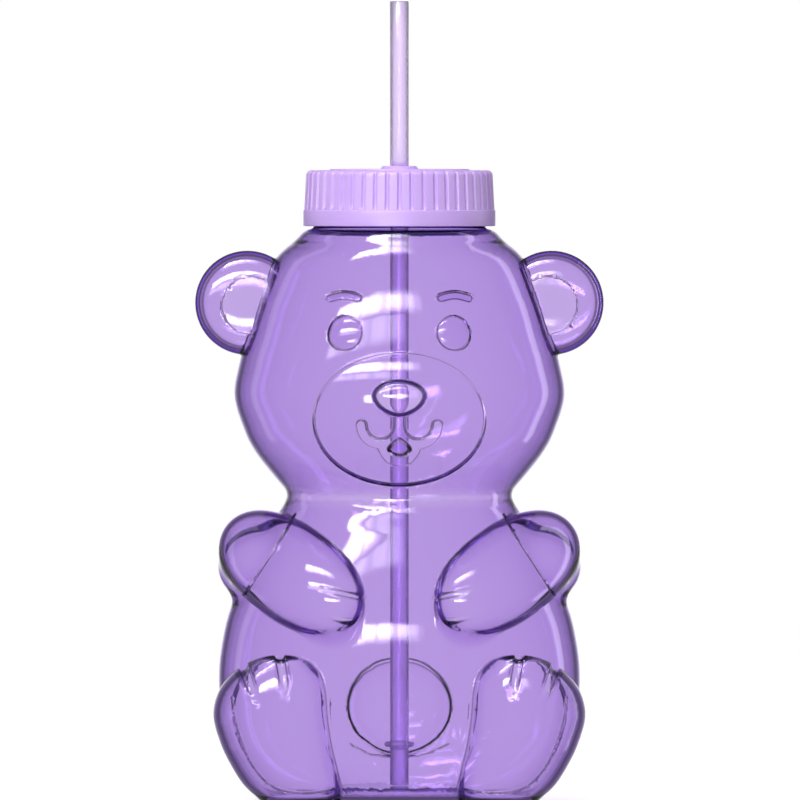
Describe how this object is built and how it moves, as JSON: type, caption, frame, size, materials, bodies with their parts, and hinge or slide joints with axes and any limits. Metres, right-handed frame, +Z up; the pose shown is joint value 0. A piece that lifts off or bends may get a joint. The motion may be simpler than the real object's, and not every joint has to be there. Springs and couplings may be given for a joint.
{
  "type": "bear-shaped water bottle",
  "caption": "Clear tinted bottle moulded as a sitting bear, with a ribbed screw lid, a gasket under the lid and a long straw with a stop ring through the lid.",
  "frame": {"origin": "middle of the rectangle that the bottle covers on the surface it stands on, which is also on the straw's line", "axes": "+Z up along the straw, the bear faces -Y, +X to the right of someone facing the bear"},
  "size_m": [0.1362, 0.104, 0.2662],
  "materials": {
    "tinted_plastic": "clear violet tint, glossy",
    "lilac_plastic": "opaque lilac, satin",
    "seal_rubber": "matt, pale",
    "straw_plastic": "translucent lilac, glossy"
  },
  "bodies": {
    "bear": {"bear_body": "tinted_plastic"},
    "seal": {"lid_seal": "seal_rubber"},
    "lid": {"screw_lid": "lilac_plastic"},
    "straw": {"straw": "straw_plastic"}
  },
  "joints": [
    {"name": "lid_lift", "type": "slide", "parent": "bear", "child": "seal", "axis": [0, 0, 1], "range_m": [0, 0.205]},
    {"name": "lid_turn", "type": "hinge", "parent": "seal", "child": "lid", "pos_m": [0, 0, 0.2], "axis": [0, 0, 1], "range_deg": [0, 540]},
    {"name": "straw_slide", "type": "slide", "parent": "lid", "child": "straw", "axis": [0, 0, 1], "range_m": [0, 0.187]}
  ]
}
